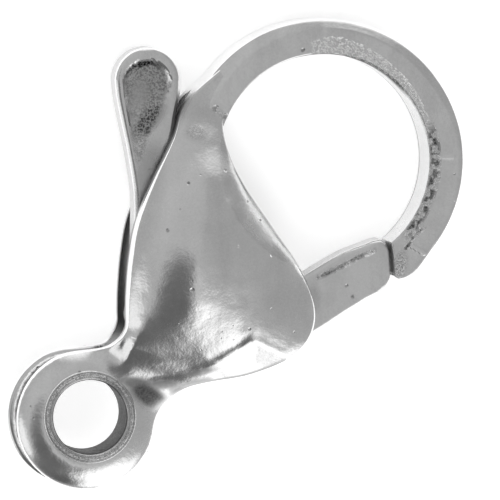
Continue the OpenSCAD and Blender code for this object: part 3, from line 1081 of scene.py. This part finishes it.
def barSection(spot, side, leftW, rightW, halfT, bevel):
    # rounded bar: the front face has the most points
    c = min(bevel, 0.45 * (leftW + rightW), 0.9 * halfT)
    steps = 7
    quarter = [math.pi / 2 * k / steps for k in range(steps + 1)]
    outline = []

    def corner(sx, sz, angles):
        for a in angles:
            w = (leftW if sx > 0 else rightW) - c + c * math.cos(a)
            outline.append((sx * w, sz * (halfT - c + c * math.sin(a))))

    def run(start, end, count):
        for k in range(1, count):
            outline.append((start[0] + (end[0] - start[0]) * k / count,
                            start[1] + (end[1] - start[1]) * k / count))

    flat, side4 = halfT, halfT - c
    corner(1, 1, quarter)
    run((leftW - c, flat), (-rightW + c, flat), 26)
    corner(-1, 1, quarter[::-1])
    run((-rightW, side4), (-rightW, -side4), 6)
    corner(-1, -1, quarter)
    run((-rightW + c, -flat), (leftW - c, -flat), 12)
    corner(1, -1, quarter[::-1])
    run((leftW, -side4), (leftW, side4), 6)
    return np.array([[spot[0] + u * side[0], spot[1] + u * side[1], z] for u, z in outline])


def thumbMesh():
    length = np.linalg.norm(thumbHead - pinPlace)
    down = (pinPlace - thumbHead) / length
    side = np.array([down[1], -down[0]])
    thumbR, bevel, halfT = lever["thumbR"], lever["bevel"], lever["thick"] / 2
    footR = lever["armRows"][-1][1] * thumbR

    def capSection(middle, way, radius, angle):
        w, out = radius * direction(angle)
        return barSection(middle + out * way, side, w, w, halfT - edgeDrop(radius - out, bevel, bevel), bevel)

    rings = [capSection(thumbHead, -down, thumbR, a) for a in lever["capAngles"]]
    for k in range(lever["armSteps"] + 1):
        row = sampleRows(lever["armRows"], k / lever["armSteps"])
        rings.append(barSection(thumbHead + row[0] * length * down, side, row[1] * thumbR, row[2] * thumbR,
                                halfT, bevel))
    rings += [capSection(pinPlace, down, footR, a) for a in lever["capAngles"][::-1]]
    return skinMesh("thumb", rings)


def gatePoint(share):
    # place on the gate's middle line
    row = sampleRows(lever["gateRows"], share)
    return pinPlace + row[0] * gateReach * gateWay + row[1] * lever["gateBow"] * gateSide


def gateMesh():
    rings = []
    for k in range(lever["gateSteps"] + 1):
        s = k / lever["gateSteps"]
        row = sampleRows(lever["gateRows"], s)
        run = gatePoint(min(1, s + 0.01)) - gatePoint(max(0, s - 0.01))
        run = run / np.linalg.norm(run)
        run = run + (endWay - run) * softStep(row[0], *lever["endTurn"])
        side = np.array([run[1], -run[0]]) / np.linalg.norm(run)
        w = row[2] * lever["gateW"] / 2
        drop = edgeDrop((1 - row[0]) * gateReach, lever["endBevel"], lever["endBevel"])
        rings.append(barSection(gatePoint(s), side, w, w, lever["gateThick"] / 2 - drop, lever["bevel"]))
    return skinMesh("gate", rings)


def inDish(points):
    # how far inside the drop-shaped thumb rest, and how far down it
    head, headR = thumbHead + np.array(lever["dishHead"][:2]), lever["dishHead"][2]
    tail, tailR = thumbHead + np.array(lever["dishTail"][:2]), lever["dishTail"][2]
    along, gap = alongWay(points[:, :2], head, tail - head)
    return headR + (tailR - headR) * along - np.linalg.norm(gap, axis=1), along


def leverMasks(mesh, front, inside):
    # the dish is grainy, most of all along its far rim, which also gets painted shade
    points = places(mesh)
    rise = points[:, 1] - thumbHead[1] + 0.35 * (thumbHead[0] - points[:, 0])
    rim = softWindow(inside, 0, 0.04, 0.14, 0.3) * softStep(rise, 0.1, 0.5)
    grit = np.max([
        softStep(inside, 0, 0.1) * (0.55 - 0.35 * markMask(points, lever["smoothSpots"])),
        0.8 * rim,
        markMask(points, lever["gritSpots"]) * softStep(inside, -0.02, 0.08),
        lineMask(points, lever["gritLines"]),
    ], axis=0)
    # painted shade along the dish's far rim and on the spots listed with it; the side walls get painted shade
    # too
    shadeAndStain = np.maximum(0.75 * rim, markMask(points, lever["shadeAndStainSpots"])) * front
    side = 1 - softStep(np.abs(points[:, 2]), 0.38, 0.46)
    setMask(mesh, "grit", grit * front)
    setMask(mesh, "shadeAndStain", np.maximum(shadeAndStain, lever["sideShade"] * side))
    setMask(mesh, "torn", lineMask(points, lever["tornLines"]) * front)


def leverMesh():
    whole = combined("lever", thumbMesh(), [gateMesh()], "UNION")
    bore = discMesh("bore", pinPlace, pin["r"] + pin["clear"], -lever["thick"], lever["thick"], 64)
    whole = combined("lever", whole, [bore], "DIFFERENCE")
    points = places(whole)
    front = softStep(points[:, 2], 0.4, 0.5)
    inside, along = inDish(points)
    wall = 1 - (1 - np.clip(inside / lever["dishWall"], 0, 1)) ** 2
    points[:, 2] -= lever["dishDepth"] * (1 - 0.8 * along) * wall * front
    setPlaces(whole, points)
    leverMasks(whole, front, inside)
    return whole


finishedPiece("clasp_lever_dressed", leverMesh(), "lever", leverSteel, "lever")

# Eyelet: the hollow rivet through both ears

eyelet = {
    "lipW": 0.09,          # the rivet's turned-over lip
    # places out from the hole and up from the ear along the lip
    "lipRows": [
        (0.0, 0.0),
        (0.008, 0.03),
        (0.022, 0.05),
        (0.04, 0.058),
        (0.056, 0.05),
        (0.066, 0.036),
        (0.078, 0.036),
        (0.092, 0.062),
        (0.11, 0.082),
        (0.135, 0.09),
        (0.16, 0.084),
        (0.18, 0.064),
        (0.192, 0.044),
        (0.202, 0.044),
        (0.214, 0.058),
        (0.228, 0.06),
        (0.24, 0.048),
        (0.248, 0.024),
    ],
    "steps": 241,
    "grit": (0.2, 0.8),    # on the whole of it, and more on the crown of the lip
    "crown": (0.07, 0.1, 0.18, 0.21),
    # painted shade on the wall of the rivet's hole
    "boreShade": 0.8,
}


def eyeletMesh():
    bore, tube, foot = eye["boreR"], eye["boreR"] + eye["rivetWall"], earOut + eye["fit"]
    half = [(bore, 0.0), (bore, 0.5 * foot), (bore, 0.9 * foot)]
    half += [(bore + out, foot + up) for out, up in eyelet["lipRows"]]
    half += [(tube + eyelet["lipW"], foot), (tube, foot), (tube, 0.5 * foot), (tube, 0.0)]
    profile = half + [(r, -z) for r, z in half[-2:0:-1]]
    mesh = sweptMesh("eyelet", profile, bore, 0, 360, eyelet["steps"])
    points = places(mesh)
    fromBore = np.hypot(points[:, 0], points[:, 1]) - bore
    grit, more = eyelet["grit"]
    setMask(mesh, "grit", grit + more * softWindow(fromBore, *eyelet["crown"]))
    setMask(mesh, "shadeAndStain", eyelet["boreShade"] * (1 - softStep(fromBore, 0.01, 0.03)))
    return mesh


finishedPiece("clasp_eyelet_dressed", eyeletMesh(), "clasp_body", eyeletSteel, "eyelet")

# Pin: the CAD node keeps its shape and gets its own finish

for node in frame["nodes"].values():
    if node.name.startswith("pivot_pin"):
        node.data.materials.clear()
        node.data.materials.append(pinSteel)
print("pieces made")

# Floor, light and camera

studio = {
    "floorTone": 0.92,
    "floorGlow": 0.32,
    "floorSize": 0.5,          # in metres
    "distance": 200.0,         # camera to its aim, in millimetres
    "lean": (-0.1477, 0.063),  # camera's way out from the clasp's face, as drawn flat
    "aim": (4.372, 4.3485),
    "roll": 0.0053,
    "focal": 15.059,           # focal length against the width of the film
    "overhead": 0.62,          # power of the lamp, its width and height in metres
    "lampSize": 0.3,
    "lampHeight": 0.3,
    "base": 0.42,              # tone where no panel stands
    # panels of soft tone round the clasp: azimuth and tilt as drawn flat, spread, softness, tone
    "panels": [
        (140, 28, 26, 20, 0.47),
        (20, 45, 26, 20, 0.36),
        (75, 80, 26, 14, 1.0),
        (-160, 76, 14, 9, 0.95),
        (-64, 70, 24, 8, 1.3),
        (-68, 47, 15, 9, 1.25),
        (-88, 20, 8, 6, 0.6),
        (-150, 24, 12, 9, 0.17),
        (-120, 34, 17, 9, 0.13),
        (-115, 66, 22, 9, 0.12),
        (-157, 70, 15, 8, 0.95),
    ],
}


def flatWay(azimuth, tilt):
    # a direction given as drawn flat, in the frame
    a, t = math.radians(azimuth), math.radians(tilt)
    way = Vector((math.sin(t) * math.cos(a), math.sin(t) * math.sin(a), math.cos(t)))
    return (lay.to_3x3() @ way).normalized()


def addFloor():
    half = studio["floorSize"] / 2
    mesh = bpy.data.meshes.new("floor")
    corners = [(-half, -half, 0), (half, -half, 0), (half, half, 0), (-half, half, 0)]
    mesh.from_pydata(corners, [], [(0, 1, 2, 3)])
    material = bpy.data.materials.new("paleFloor")
    material.use_nodes = True
    shader = material.node_tree.nodes["Principled BSDF"]
    tone = studio["floorTone"]
    shader.inputs["Base Color"].default_value = (tone, tone, tone, 1)
    shader.inputs["Roughness"].default_value = 0.9
    shader.inputs["Emission Color"].default_value = (1, 1, 1, 1)
    shader.inputs["Emission Strength"].default_value = studio["floorGlow"]
    mesh.materials.append(material)
    floor = newObject("floor", mesh)


def addWorld():
    # each panel lies over those before it
    world = bpy.data.worlds.new("softStudio")
    bpy.context.scene.world = world
    world.use_nodes = True
    tree = world.node_tree
    sky = tree.nodes["Background"]
    coordinates = tree.nodes.new("ShaderNodeTexCoord")
    tone = None
    for azimuth, tilt, spread, soft, level in studio["panels"]:
        toward = tree.nodes.new("ShaderNodeVectorMath")
        toward.operation = "DOT_PRODUCT"
        toward.inputs[1].default_value = flatWay(azimuth, tilt)
        tree.links.new(coordinates.outputs["Generated"], toward.inputs[0])
        edge = spreadNode(tree, toward.outputs["Value"], math.cos(math.radians(spread + soft)),
                          math.cos(math.radians(max(0, spread - soft))))
        mix = tree.nodes.new("ShaderNodeMix")
        tree.links.new(edge, mix.inputs[0])
        if tone is None:
            mix.inputs[2].default_value = studio["base"]
        else:
            tree.links.new(tone, mix.inputs[2])
        mix.inputs[3].default_value = level
        tone = mix.outputs[0]
    tree.links.new(tone, sky.inputs["Strength"])
    sky.inputs["Color"].default_value = (1, 1, 1, 1)


def addLight():
    # brightens the floor from straight above and isn't mirrored in the metal
    light = bpy.data.lights.new("overhead", "AREA")
    light.shape = "DISK"
    light.size = studio["lampSize"]
    light.energy = studio["overhead"]
    lamp = bpy.data.objects.new("overhead", light)
    lamp.location = (0, 0, studio["lampHeight"])
    lamp.visible_glossy = False
    bpy.context.scene.collection.objects.link(lamp)


def addCamera():
    camera = bpy.data.cameras.new("camera")
    camera.lens = studio["focal"] * camera.sensor_width
    camera.clip_start = 0.001
    camera.clip_end = 10
    view = bpy.data.objects.new("camera", camera)
    bpy.context.scene.collection.objects.link(view)
    frameOf = lay.to_3x3().normalized()
    back = (frameOf @ Vector((studio["lean"][0], studio["lean"][1], 1))).normalized()
    aim = lay @ Vector((studio["aim"][0], studio["aim"][1], 0))
    up = frameOf @ Vector((-math.sin(studio["roll"]), math.cos(studio["roll"]), 0))
    right = up.cross(back).normalized()
    up = back.cross(right)
    turn = Matrix((right, up, back)).transposed().to_4x4()
    view.matrix_world = Matrix.Translation(aim + back * studio["distance"] * mm) @ turn
    bpy.context.scene.camera = view


addFloor()
addWorld()
addLight()
addCamera()
bpy.context.scene.view_settings.view_transform = "Standard"
print("studio ready")
